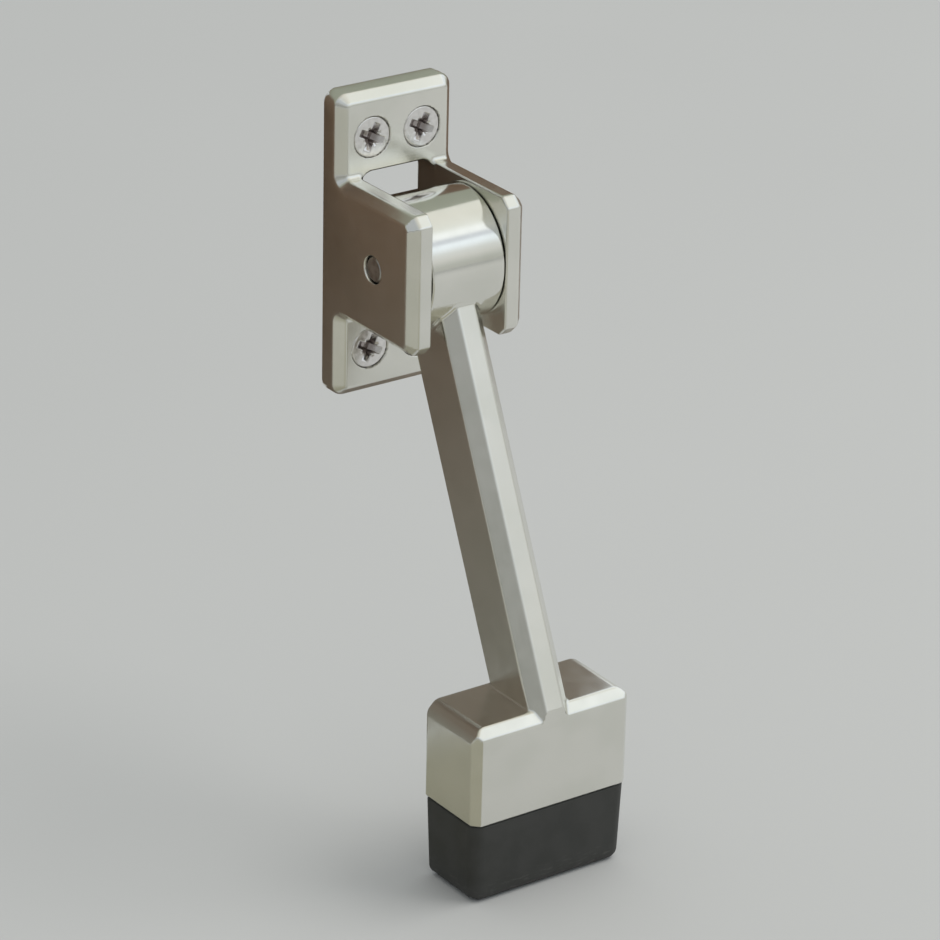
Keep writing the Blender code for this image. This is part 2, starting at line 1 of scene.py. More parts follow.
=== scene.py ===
"""Looks of the kick-down floor door holder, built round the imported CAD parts.

The two castings, the rubber block, the screws and the balls are made here as finer bodies with
rounded edges and fillets. Each starts from the CAD node's own mesh, cut into an even skin of small
faces, and every point of that skin is then moved onto a smooth solid that is described with planes
and cylinders. The other CAD nodes are shown as they are, with a small bevel and a material.
"""

import json
import math

import bpy
import numpy as np
from mathutils import Matrix, Vector

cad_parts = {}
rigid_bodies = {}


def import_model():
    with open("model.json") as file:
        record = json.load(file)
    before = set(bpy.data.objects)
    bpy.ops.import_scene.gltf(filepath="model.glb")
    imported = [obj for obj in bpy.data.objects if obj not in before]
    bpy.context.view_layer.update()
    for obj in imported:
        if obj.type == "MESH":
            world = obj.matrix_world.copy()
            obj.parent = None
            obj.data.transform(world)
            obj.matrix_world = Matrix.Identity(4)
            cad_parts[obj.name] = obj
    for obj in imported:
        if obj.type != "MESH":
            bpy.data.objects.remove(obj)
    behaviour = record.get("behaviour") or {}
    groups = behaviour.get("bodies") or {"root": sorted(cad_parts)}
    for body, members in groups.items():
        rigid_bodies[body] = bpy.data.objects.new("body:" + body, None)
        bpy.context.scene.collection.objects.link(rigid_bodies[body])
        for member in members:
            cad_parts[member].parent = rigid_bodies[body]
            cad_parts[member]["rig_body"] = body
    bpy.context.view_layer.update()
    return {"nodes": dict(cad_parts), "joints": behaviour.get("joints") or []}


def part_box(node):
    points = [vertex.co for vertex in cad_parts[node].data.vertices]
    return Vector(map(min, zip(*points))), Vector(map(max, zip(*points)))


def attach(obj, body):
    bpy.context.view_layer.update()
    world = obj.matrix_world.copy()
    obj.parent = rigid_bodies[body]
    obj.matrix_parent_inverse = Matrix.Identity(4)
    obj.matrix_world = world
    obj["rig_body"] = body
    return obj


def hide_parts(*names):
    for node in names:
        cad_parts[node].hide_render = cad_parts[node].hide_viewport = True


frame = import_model()

MM = 0.001
ROOT_HALF = math.sqrt(0.5)

# Places read from the frame.
JOINTS = {joint["name"]: joint for joint in frame["joints"]}
PIVOT = np.array(JOINTS["arm_fold"]["pos_m"])
BRACKET_LOW, BRACKET_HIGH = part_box("mount_bracket")
LEVER_LOW, LEVER_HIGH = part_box("lever_arm")
RUBBER_LOW, RUBBER_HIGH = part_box("rubber_foot")
PIN_LOW, PIN_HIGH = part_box("pivot_pin")
FLOOR = RUBBER_LOW.z

# The bracket.
PLATE_THICKNESS = 5.7 * MM
PLATE_CORNER = 2.7 * MM
PLATE_CHAMFER = 1.95 * MM
EAR_THICKNESS = 4.9 * MM
EAR_TOP = 14.3 * MM             # above the pivot
EAR_BOTTOM = -14.4 * MM
EAR_FRONT_CHAMFER = 2.0 * MM
EAR_GAP = BRACKET_HIGH.x - EAR_THICKNESS
WINDOW_HALF_HEIGHT = 15.0 * MM
WINDOW_CORNER = 3.0 * MM
BORE = (PIN_HIGH.z - PIN_LOW.z) / 2 + 0.2 * MM

# The lever arm.
HUB_RADIUS = 13.4 * MM
HUB_HALF_WIDTH = 8.4 * MM
WASHER_SEAT = 7.8 * MM          # from the middle plane
WASHER_SEAT_RADIUS = 6.3 * MM
HUB_BORE = 4.3 * MM
BALL_ORBIT = 9.5 * MM
BALL_HOLE = 2.3 * MM
DIMPLE_RADIUS = 2.2 * MM
DIMPLE_DEPTH = 0.5 * MM
ARM_LEAN = math.radians(24.2)
ARM_HALF_WIDTH = 4.6 * MM
ARM_FRONT = 8.85 * MM
ARM_BACK = 6.9 * MM
ARM_FRONT_CHAMFER = 2.6 * MM
ARM_BACK_CHAMFER = 1.7 * MM
FOOT_TOP = -79.2 * MM           # from the pivot
FOOT_BACK = -27.9 * MM
FOOT_CORNER = 1.7 * MM
FOOT_CHAMFER = 2.05 * MM
POCKET_ROOF = -87.9 * MM
POCKET_HALF_WIDTH = 15.5 * MM
POCKET_HALF_DEPTH = 5.6 * MM
POCKET_CORNER = 1.5 * MM
TAPPED_RADIUS = 2.3 * MM
TAPPED_TOP = -82.2 * MM
FOOT_SCREW_X = 8.5 * MM
FOOT_MIDDLE = (LEVER_LOW.y + PIVOT[1] + FOOT_BACK) / 2

# The rubber block.
GAP = 0.3 * MM
SOLE_HALF_WIDTH = 17.9 * MM
SOLE_HALF_DEPTH = 7.95 * MM
COUNTERBORE = 4.4 * MM
INSERT_LOW, INSERT_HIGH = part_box("foot_insert_plate")
GROOVE_PITCH = 4.0 * MM
GROOVE_HALF_WIDTH = 0.7 * MM
GROOVE_DEPTH = 0.8 * MM

# The screws.
SHANK_HOLE = 2.4 * MM
WOOD_HEAD = 4.1 * MM
WOOD_HEAD_RIM = 0.4 * MM
HEAD_GAP = 0.10 * MM            # round each wood screw's head
WOOD_CREST = 2.1 * MM
WOOD_ROOT = 1.45 * MM
WOOD_PITCH = 1.8 * MM
WOOD_POINT = 4.0 * MM
RECESS_TURN = math.radians(-25)
PAN_HEAD = 3.7 * MM
PAN_HEAD_HEIGHT = 2.6 * MM
PAN_CREST = 1.97 * MM
PAN_ROOT = 1.55 * MM
PAN_PITCH = 0.8 * MM

# The spring.
WIRE_RADIUS = 0.25 * MM
SPRING_TURNS = 8

# The camera.
CAMERA_PLACE = (-0.4593, -0.6768, 0.2920)
CAMERA_AZIMUTH = math.radians(-35.48)
CAMERA_ELEVATION = math.radians(24.08)
CAMERA_ROLL = math.radians(-1.28)
CAMERA_LENS = 170.3


# Fields: each is a function that takes points as rows and returns their signed distances to a
# solid's surface, negative inside, and the unit directions in which the distances grow.

def plane(normal, through):
    """The half space behind a plane."""
    direction = np.array(normal, float)
    direction /= np.linalg.norm(direction)
    offset = float(np.dot(direction, through))

    def field(points):
        return points @ direction - offset, np.broadcast_to(direction, points.shape)
    return field


def below(axis, value):
    """Everything under a value of one axis, 0 for X, 1 for Y and 2 for Z."""
    normal = np.eye(3)[axis]
    return plane(normal, normal * value)


def above(axis, value):
    normal = -np.eye(3)[axis]
    return plane(normal, -normal * value)


def rod(axis, centre, radius):
    """An endless cylinder along one axis."""
    across = np.ones(3)
    across[axis] = 0.0
    middle = np.array(centre)

    def field(points):
        out = (points - middle) * across
        far = np.maximum(np.linalg.norm(out, axis=1), 1e-12)
        return far - radius, out / far[:, None]
    return field


def funnel(axis, centre, radius, tip):
    """A cone of 90 degrees about an axis, as wide as radius at centre, closing towards tip."""
    direction = np.eye(3)[axis] * tip
    middle = np.array(centre)

    def field(points):
        offset = points - middle
        along = offset @ direction
        out = offset - along[:, None] * direction
        far = np.maximum(np.linalg.norm(out, axis=1), 1e-12)
        slope = (out / far[:, None] + direction) * ROOT_HALF
        return (far + along - radius) * ROOT_HALF, slope
    return field


def ball(centre, radius):
    middle = np.array(centre)

    def field(points):
        out = points - middle
        far = np.maximum(np.linalg.norm(out, axis=1), 1e-12)
        return far - radius, out / far[:, None]
    return field


def joined_size(size, slope_a, slope_b):
    """How round an edge gets: its full size at a right angle, and nothing between flush faces."""
    alike = np.clip(np.sum(slope_a * slope_b, axis=1), 0.0, 1.0)
    return size * np.sqrt(1.0 - alike) + 1e-9


def blended(a, b, size, sign):
    """Two fields met with a round edge: both solids for sign 1, either solid for sign -1."""
    def field(points):
        far_a, slope_a = a(points)
        far_b, slope_b = b(points)
        reach = joined_size(size, slope_a, slope_b)
        in_a = np.maximum(reach + sign * far_a, 0.0)
        in_b = np.maximum(reach + sign * far_b, 0.0)
        sharp = np.maximum(sign * far_a, sign * far_b)
        length = np.hypot(in_a, in_b)
        curved = (in_a > 0) & (in_b > 0)
        far = sign * np.where(curved, np.minimum(-reach, sharp) + length, sharp)
        nearest = (sign * far_a >= sign * far_b)[:, None]
        mixed = in_a[:, None] * slope_a + in_b[:, None] * slope_b
        mixed /= np.maximum(np.linalg.norm(mixed, axis=1), 1e-12)[:, None]
        slope = np.where(curved[:, None], mixed, np.where(nearest, slope_a, slope_b))
        return far, slope
    return field


def both(*fields, edge=0.0):
    """The space that all solids share, with its convex edges rounded."""
    result = fields[0]
    for other in fields[1:]:
        result = blended(result, other, edge, 1)
    return result


def either(*fields, fillet=0.0):
    """The space of any of the solids, with fillets where they meet."""
    result = fields[0]
    for other in fields[1:]:
        result = blended(result, other, fillet, -1)
    return result


def without(solid, hole, edge=0.0):
    def outside(points):
        far, slope = hole(points)
        return -far, -slope
    return blended(solid, outside, edge, 1)


def chamfered(a, b, width, edge):
    """The space that two solids share, with a flat chamfer between their faces."""
    def cut(points):
        far_a, slope_a = a(points)
        far_b, slope_b = b(points)
        slope = slope_a + slope_b
        length = np.maximum(np.linalg.norm(slope, axis=1), 1e-12)
        return (far_a + far_b + width) / length, slope / length[:, None]
    return both(both(a, cut, edge=edge), b, edge=edge)


def block(low, high, edge=0.0):
    """A box between two corners. A None in a corner leaves that side open."""
    sides = [above(axis, value) for axis, value in enumerate(low) if value is not None]
    sides += [below(axis, value) for axis, value in enumerate(high) if value is not None]
    return both(*sides, edge=edge)


# Skins: meshes that lie on a field's surface.

def copied(mesh, name):
    holder = bpy.data.objects.new(name, mesh)
    bpy.context.scene.collection.objects.link(holder)
    return holder


def rebuilt(mesh, kind, **settings):
    """The mesh after one modifier."""
    holder = copied(mesh, "skin source")
    modifier = holder.modifiers.new("rebuild", kind)
    for name, value in settings.items():
        setattr(modifier, name, value)
    graph = bpy.context.evaluated_depsgraph_get()
    skin = bpy.data.meshes.new_from_object(holder.evaluated_get(graph))
    bpy.data.objects.remove(holder, do_unlink=True)
    return skin


def settle(mesh, field, steps=6):
    """Moves every point of a mesh onto a field's surface and returns the field's directions."""
    points = np.zeros(len(mesh.vertices) * 3)
    mesh.vertices.foreach_get("co", points)
    points = points.reshape(-1, 3)
    for _ in range(steps):
        far, slope = field(points)
        points = points - far[:, None] * slope
    mesh.vertices.foreach_set("co", points.ravel())
    mesh.update()
    return field(points)[1]


def skinned(name, source, field, grain, rounds=2, share=1.0):
    """A piece whose skin lies on a field's surface, started from another mesh close to it.

    The faces are about one grain wide. Only a share of them is kept, with wide ones in flat parts.
    """
    mesh = source
    for _ in range(rounds):
        mesh = rebuilt(mesh, "REMESH", mode="VOXEL", voxel_size=grain)
        directions = settle(mesh, field)
    if share < 1:
        mesh = rebuilt(mesh, "DECIMATE", ratio=share)
        directions = settle(mesh, field)
    mesh.name = name
    mesh.shade_smooth()
    mesh.normals_split_custom_set_from_vertices(directions.tolist())
    return mesh


def placed(name, mesh, node, location=(0, 0, 0), rotation=None):
    """Shows a mesh in place of a CAD node, on the same body."""
    piece = copied(mesh, name)
    piece.location = location
    if rotation:
        piece.rotation_euler = rotation.to_euler()
    body = frame["nodes"][node]["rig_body"]
    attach(piece, body)
    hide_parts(node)
    return piece


# The castings.

def ear_field():
    """Both ears, which reach back into the plate."""
    top = PIVOT[2] + EAR_TOP
    bottom = PIVOT[2] + EAR_BOTTOM
    front = above(1, BRACKET_LOW.y)
    upper = chamfered(front, below(2, top), EAR_FRONT_CHAMFER, edge=0.5 * MM)
    lower = chamfered(front, above(2, bottom), EAR_FRONT_CHAMFER, edge=0.5 * MM)
    gap = block((-EAR_GAP, None, None), (EAR_GAP, None, None))
    return without(both(upper, lower), gap, edge=0.45 * MM)


def countersinks():
    """The four countersunk holes of the mounting screws."""
    holes = []
    for name in ("upper_left", "upper_right", "lower_left", "lower_right"):
        low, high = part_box(f"mounting_screw_{name}")
        centre = ((low.x + high.x) / 2, -PLATE_THICKNESS, (low.z + high.z) / 2)
        seat = (centre[0], centre[1] + WOOD_HEAD_RIM, centre[2])
        head = rod(1, centre, WOOD_HEAD + HEAD_GAP)
        cone = funnel(1, seat, WOOD_HEAD + HEAD_GAP, 1)
        shank = rod(1, centre, SHANK_HOLE)
        holes.append(both(head, either(cone, shank)))
    return either(*holes)


def ball_axis(turn):
    """A point on the balls' axis once the arm has turned up by this angle."""
    lean = ARM_LEAN + turn
    return PIVOT + np.array([0.0, math.sin(lean), math.cos(lean)]) * BALL_ORBIT


def dimples():
    """The dimples in the ears that the balls click into, with the arm down and with it up."""
    reach = EAR_GAP + DIMPLE_DEPTH - DIMPLE_RADIUS
    hollows = []
    for turn in (0.0, math.pi - ARM_LEAN):
        for side in (-1, 1):
            hollows.append(ball(ball_axis(turn) + np.array([side * reach, 0, 0]), DIMPLE_RADIUS))
    return either(*hollows)


def bracket_field():
    corner_low = (BRACKET_LOW.x, None, BRACKET_LOW.z)
    corner_high = (BRACKET_HIGH.x, None, BRACKET_HIGH.z)
    outline = block(corner_low, corner_high, edge=PLATE_CORNER)
    front = above(1, -PLATE_THICKNESS)
    raised = either(front, ear_field(), fillet=1.2 * MM)
    body = chamfered(raised, outline, PLATE_CHAMFER, edge=0.6 * MM)
    body = both(body, below(1, 0.0), edge=0.25 * MM)
    window = block(
        (-EAR_GAP, None, PIVOT[2] - WINDOW_HALF_HEIGHT),
        (EAR_GAP, None, PIVOT[2] + WINDOW_HALF_HEIGHT), edge=WINDOW_CORNER,
    )
    body = without(body, window, edge=0.4 * MM)
    body = without(body, rod(0, PIVOT, BORE), edge=0.35 * MM)
    body = without(body, dimples(), edge=0.1 * MM)
    return without(body, countersinks(), edge=0.15 * MM)


def arm_point(forward, along=0.0):
    """A point in the arm's own directions: forward of the pivot, and along it towards the foot."""
    ahead = np.array([0.0, -math.cos(ARM_LEAN), math.sin(ARM_LEAN)])
    down = np.array([0.0, -math.sin(ARM_LEAN), -math.cos(ARM_LEAN)])
    return PIVOT + ahead * forward + down * along


def arm_field():
    """The arm's bar: eight-sided, with larger chamfers in front."""
    ahead = arm_point(1.0) - PIVOT
    back_way = -ahead
    front = plane(ahead, arm_point(ARM_FRONT))
    back = plane(back_way, arm_point(-ARM_BACK))
    bar = None
    for side in (-1, 1):
        face = plane((side, 0, 0), (side * ARM_HALF_WIDTH, 0, 0))
        half = chamfered(front, face, ARM_FRONT_CHAMFER, edge=0.45 * MM)
        half = both(half, chamfered(back, face, ARM_BACK_CHAMFER, edge=0.45 * MM))
        bar = half if bar is None else both(bar, half)
    start = plane(PIVOT - arm_point(0.0, 1.0), PIVOT)
    bar = both(bar, start)
    end = PIVOT[2] + (FOOT_TOP + POCKET_ROOF) / 2
    inside = plane((0, -1, -1), (0, LEVER_LOW.y, PIVOT[2] + FOOT_TOP - FOOT_CHAMFER - 0.8 * MM))
    return both(bar, above(2, end), above(1, LEVER_LOW.y), inside)


def foot_field():
    low = PIVOT[2] + FOOT_TOP
    top = below(2, low)
    front = above(1, LEVER_LOW.y)
    shape = chamfered(front, top, FOOT_CHAMFER, edge=0.5 * MM)
    for side in (above(0, LEVER_LOW.x), below(0, LEVER_HIGH.x)):
        corner = chamfered(front, side, FOOT_CORNER, edge=0.5 * MM)
        shoulder = chamfered(side, top, FOOT_CHAMFER, edge=1.5 * MM)
        shape = both(shape, corner, shoulder, edge=0.5 * MM)
    shape = both(shape, below(1, PIVOT[1] + FOOT_BACK), edge=0.9 * MM)
    return both(shape, above(2, LEVER_LOW.z), edge=0.2 * MM)


def pocket_field():
    """The pocket in the foot, and the tapped holes in its roof."""
    sides = block(
        (-POCKET_HALF_WIDTH, FOOT_MIDDLE - POCKET_HALF_DEPTH, None),
        (POCKET_HALF_WIDTH, FOOT_MIDDLE + POCKET_HALF_DEPTH, None), edge=POCKET_CORNER,
    )
    pocket = both(sides, below(2, PIVOT[2] + POCKET_ROOF))
    holes = [
        both(rod(2, (side * FOOT_SCREW_X, FOOT_MIDDLE, 0), TAPPED_RADIUS),
             below(2, PIVOT[2] + TAPPED_TOP))
        for side in (-1, 1)
    ]
    return either(pocket, *holes)


def lever_field():
    hub = both(
        rod(0, PIVOT, HUB_RADIUS),
        above(0, -HUB_HALF_WIDTH), below(0, HUB_HALF_WIDTH), edge=0.45 * MM,
    )
    body = either(hub, arm_field(), fillet=0.8 * MM)
    body = either(body, foot_field(), fillet=0.6 * MM)
    body = without(body, rod(0, PIVOT, HUB_BORE), edge=0.3 * MM)
    seat = rod(0, PIVOT, WASHER_SEAT_RADIUS)
    for side in (above(0, WASHER_SEAT), below(0, -WASHER_SEAT)):
        body = without(body, both(seat, side), edge=0.1 * MM)
    body = without(body, rod(0, ball_axis(0.0), BALL_HOLE), edge=0.2 * MM)
    return without(body, pocket_field(), edge=0.2 * MM)


def rubber_field():
    """The rubber block, a little inside the metal foot's outline, and its plug."""
    top = RUBBER_HIGH.z
    rim = LEVER_LOW.z - GAP
    height = rim - FLOOR
    inset = 0.25 * MM
    half_width = LEVER_HIGH.x - inset
    half_depth = FOOT_MIDDLE - LEVER_LOW.y - inset

    def side(axis, way, at_rim, at_sole):
        normal = np.zeros(3)
        normal[axis] = way * height
        normal[2] = at_sole - at_rim
        middle = (0.0, FOOT_MIDDLE, rim)
        through = np.array(middle)
        through[axis] += way * at_rim
        return plane(normal, through)

    front = side(1, -1, half_depth, SOLE_HALF_DEPTH)
    back = side(1, 1, half_depth, SOLE_HALF_DEPTH)
    left = side(0, -1, half_width, SOLE_HALF_WIDTH)
    right = side(0, 1, half_width, SOLE_HALF_WIDTH)
    block_shape = both(front, left, right, edge=2.6 * MM)
    block_shape = both(block_shape, back, edge=0.9 * MM)
    block_shape = both(block_shape, above(2, FLOOR), edge=2.2 * MM)
    block_shape = both(block_shape, below(2, rim), edge=0.4 * MM)
    plug = block(
        (-POCKET_HALF_WIDTH + GAP, FOOT_MIDDLE - POCKET_HALF_DEPTH + GAP, None),
        (POCKET_HALF_WIDTH - GAP, FOOT_MIDDLE + POCKET_HALF_DEPTH - GAP, None),
        edge=POCKET_CORNER,
    )
    plug = both(plug, below(2, top), above(2, rim - 1 * MM), edge=0.3 * MM)
    body = either(block_shape, plug)
    space = block(INSERT_LOW - Vector((GAP,) * 3), INSERT_HIGH + Vector((GAP,) * 3))
    body = without(body, space)
    for way in (-1, 1):
        centre = (way * FOOT_SCREW_X, FOOT_MIDDLE, 0.0)
        through = both(rod(2, centre, TAPPED_RADIUS), above(2, INSERT_HIGH.z))
        wide = both(rod(2, centre, COUNTERBORE), below(2, INSERT_LOW.z))
        body = without(body, either(through, wide), edge=0.3 * MM)
    for index in (-1.5, -0.5, 0.5, 1.5):
        y = FOOT_MIDDLE + index * GROOVE_PITCH
        groove = block(
            (None, y - GROOVE_HALF_WIDTH, None),
            (None, y + GROOVE_HALF_WIDTH, FLOOR + GROOVE_DEPTH), edge=0.3 * MM,
        )
        body = without(body, groove, edge=0.25 * MM)
    return body


def thread(crest, root, pitch, top, end, tip):
    """A threaded shank along -Z, from a height down to its end, which may be a point."""
    flank = 3.2

    def field(points):
        x, y, z = points.T
        far_out = np.maximum(np.hypot(x, y), 1e-9)
        turn = z / pitch - np.arctan2(y, x) / (2 * math.pi)
        part = turn - np.floor(turn) - 0.5
        rise = np.clip(1.0 - np.abs(part) * flank, 0.0, 1.0)
        steep = np.where(rise > 0, -np.sign(part) * flank, 0.0)
        height = (crest - root) * np.clip((top - z) / pitch, 0.0, 1.0)
        taper = np.clip((z - end) / tip, 0.02, 1.0) if tip else np.ones_like(z)
        narrows = np.where(taper < 1, 1.0 / tip, 0.0) if tip else 0.0
        full = root + height * rise
        along = height * steep / pitch * taper + full * narrows
        round_about = height * steep / (2 * math.pi) / far_out * taper
        cos, sin = x / far_out, y / far_out
        slope = np.stack([cos - sin * round_about, sin + cos * round_about, -along], axis=1)
        length = np.linalg.norm(slope, axis=1)
        return (far_out - full * taper) / length, slope / length[:, None]
    return both(field, above(2, end), edge=0.05 * MM)


def recess_arm(turn, length, width, depth):
    """One bar through a recess, turned about Z. It gets shorter towards its bottom."""
    along = np.array([math.cos(turn), math.sin(turn), 0.0])
    across = np.array([-math.sin(turn), math.cos(turn), 0.0])
    up = np.array([0.0, 0.0, 1.0])
    sides = [above(2, -depth)]
    for way in (-1, 1):
        sides.append(plane(way * across + 0.08 * -up, way * across * width / 2))
        sides.append(plane(way * along + 0.45 * length / depth * -up, way * along * length / 2))
    return both(*sides)


def cross_recess(length, width, depth, lobe):
    """A cross recess with round lobes between its arms."""
    arms = [recess_arm(turn, length, width, depth) for turn in (0.0, math.pi / 2)]
    return either(*arms, fillet=lobe)


def wood_screw_field(length):
    """A countersunk wood screw, its head's top at height 0 and its point down."""
    dome = ball((0, 0, -40 * MM), 40 * MM)
    cone = funnel(2, (0, 0, -WOOD_HEAD_RIM), WOOD_HEAD, -1)
    shank = thread(WOOD_CREST, WOOD_ROOT, WOOD_PITCH, -3.4 * MM, -length, tip=WOOD_POINT)
    head = both(dome, rod(2, (0, 0, 0), WOOD_HEAD), edge=0.3 * MM)
    head = both(head, either(cone, shank, fillet=0.3 * MM))
    recess = cross_recess(6.2 * MM, 1.5 * MM, 2.5 * MM, lobe=1.15 * MM)
    notches = [recess_arm(turn, 4.4 * MM, 0.55 * MM, 1.3 * MM)
               for turn in (math.pi / 4, -math.pi / 4)]
    recess = either(recess, *notches, fillet=0.15 * MM)
    return without(head, recess, edge=0.16 * MM)


def foot_screw_field(length):
    """A pan-head screw, its head's top at height 0."""
    dome = ball((0, 0, -12 * MM), 12 * MM)
    head = both(dome, rod(2, (0, 0, 0), PAN_HEAD), edge=0.7 * MM)
    head = both(head, above(2, -PAN_HEAD_HEIGHT), edge=0.15 * MM)
    shank = thread(PAN_CREST, PAN_ROOT, PAN_PITCH, -4.0 * MM, -length, tip=0.0)
    shank = both(shank, below(2, -2.0 * MM))
    screw = either(head, shank, fillet=0.2 * MM)
    recess = cross_recess(4.2 * MM, 1.0 * MM, 1.4 * MM, lobe=0.6 * MM)
    return without(screw, recess, edge=0.15 * MM)


def local_copy(node, place):
    """A CAD node's mesh, moved from the frame into a piece's own axes."""
    mesh = frame["nodes"][node].data.copy()
    mesh.transform(place.inverted())
    return mesh


def build_castings():
    nodes = frame["nodes"]
    mesh = skinned("bracket_casting", nodes["mount_bracket"].data, bracket_field(),
                   0.32 * MM, share=0.6)
    bracket = placed("bracket_casting", mesh, "mount_bracket")
    dress(bracket, satin_nickel())
    mesh = skinned("lever_casting", nodes["lever_arm"].data, lever_field(), 0.34 * MM,
                   share=0.5)
    lever = placed("lever_casting", mesh, "lever_arm")
    dress(lever, satin_nickel(polished_hub=True))


def build_rubber():
    mesh = skinned("rubber_block", frame["nodes"]["rubber_foot"].data, rubber_field(), 0.36 * MM)
    rubber = placed("rubber_block", mesh, "rubber_foot")
    dress(rubber, moulded_rubber())


def build_screws():
    # The screws' plating gets painted shade down in their recesses.
    plated = bright_steel("screw_plating", 0.20, shaded_recess=True)
    stand = Matrix.Rotation(math.pi / 2, 4, "X") @ Matrix.Rotation(RECESS_TURN, 4, "Z")
    mesh = None
    for name in ("upper_left", "upper_right", "lower_left", "lower_right"):
        node = f"mounting_screw_{name}"
        low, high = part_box(node)
        place = Matrix.Translation(((low.x + high.x) / 2, low.y, (low.z + high.z) / 2)) @ stand
        if mesh is None:
            field = wood_screw_field(high.y - low.y)
            mesh = skinned("wood_screw", local_copy(node, place), field, 0.15 * MM)
        piece = placed(f"wood_screw_{name}", mesh, node,
                       place.translation, stand)
        dress(piece, plated)
    upside_down = Matrix.Rotation(math.pi, 4, "X")
    mesh = None
    for hand in ("left", "right"):
        node = f"foot_screw_{hand}"
        low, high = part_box(node)
        place = Matrix.Translation(((low.x + high.x) / 2, (low.y + high.y) / 2, low.z))
        if mesh is None:
            source = local_copy(node, place @ upside_down)
            mesh = skinned("pan_head_screw", source, foot_screw_field(high.z - low.z), 0.16 * MM)
        piece = placed(f"pan_head_screw_{hand}", mesh, node,
                       place.translation, upside_down)
        dress(piece, plated)


def build_balls():
    steel = bright_steel("ball_steel", 0.08)
    for hand in ("left", "right"):
        node = f"detent_ball_{hand}"
        low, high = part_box(node)
        field = ball((low + high) / 2, (high.y - low.y) / 2)
        mesh = skinned(f"ball_{hand}", frame["nodes"][node].data, field, 0.2 * MM, rounds=1)
        dress(placed(f"ball_{hand}", mesh, node), steel)


def build_spring():
    """The coil spring between the balls. Its end coils are closed."""
    low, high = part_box("detent_spring")
    wire = WIRE_RADIUS
    centre = (low + high) / 2
    half = (high.x - low.x) / 2 - wire
    radius = (high.z - low.z) / 2 - wire
    turns = SPRING_TURNS
    points_per_turn = 24
    count = turns * points_per_turn + 1
    end_turns = 1.6
    close_pitch = wire * 1.05
    curve = bpy.data.curves.new("detent_coil", "CURVE")
    curve.dimensions = "3D"
    curve.bevel_depth = wire
    curve.bevel_resolution = 3
    curve.use_fill_caps = True
    spline = curve.splines.new("POLY")
    spline.points.add(count - 1)
    for index, point in enumerate(spline.points):
        part = 2 * index / (count - 1) - 1
        angle = math.pi * turns * part
        open_coils = min(max(abs(part) / (1 - end_turns / turns), 0.0), 1.0)
        closed = max(abs(part) - (1 - end_turns / turns), 0.0) * turns * close_pitch
        x = math.copysign((half - end_turns * close_pitch) * open_coils + closed, part)
        point.co = (x, radius * math.cos(angle), radius * math.sin(angle), 1.0)
    holder = bpy.data.objects.new("coil curve", curve)
    bpy.context.scene.collection.objects.link(holder)
    graph = bpy.context.evaluated_depsgraph_get()
    mesh = bpy.data.meshes.new_from_object(holder.evaluated_get(graph))
    bpy.data.objects.remove(holder, do_unlink=True)
    mesh.shade_smooth()
    coil = placed("detent_coil", mesh, "detent_spring", centre)
    dress(coil, plain_steel())


def finish_small_nodes():
    """The CAD nodes that are shown as they are: materials, and a small bevel on their edges."""
    looks = {
        "pivot_pin": (plain_steel(), 0.15 * MM),
        "foot_insert_plate": (plain_steel(), 0.2 * MM),
        "lock_washer_left": (plain_steel(), 0.08 * MM),
        "lock_washer_right": (plain_steel(), 0.08 * MM),
        "thrust_washer_left": (white_nylon(), 0.08 * MM),
        "thrust_washer_right": (white_nylon(), 0.08 * MM),
        "hub_bush_left": (sintered_bronze(), 0.15 * MM),
        "hub_bush_right": (sintered_bronze(), 0.15 * MM),
    }
    for name, (material, width) in looks.items():
        node = frame["nodes"][name]
        node.data.shade_smooth()
        weld = node.modifiers.new("one skin", "WELD")
        weld.merge_threshold = 0.001 * MM
        bevel = node.modifiers.new("soft edges", "BEVEL")
        bevel.limit_method = "ANGLE"
        bevel.angle_limit = math.radians(40)
        bevel.width = width
        bevel.segments = 2
        node.modifiers.new("flat faces", "WEIGHTED_NORMAL")
        dress(node, material)


# Materials.

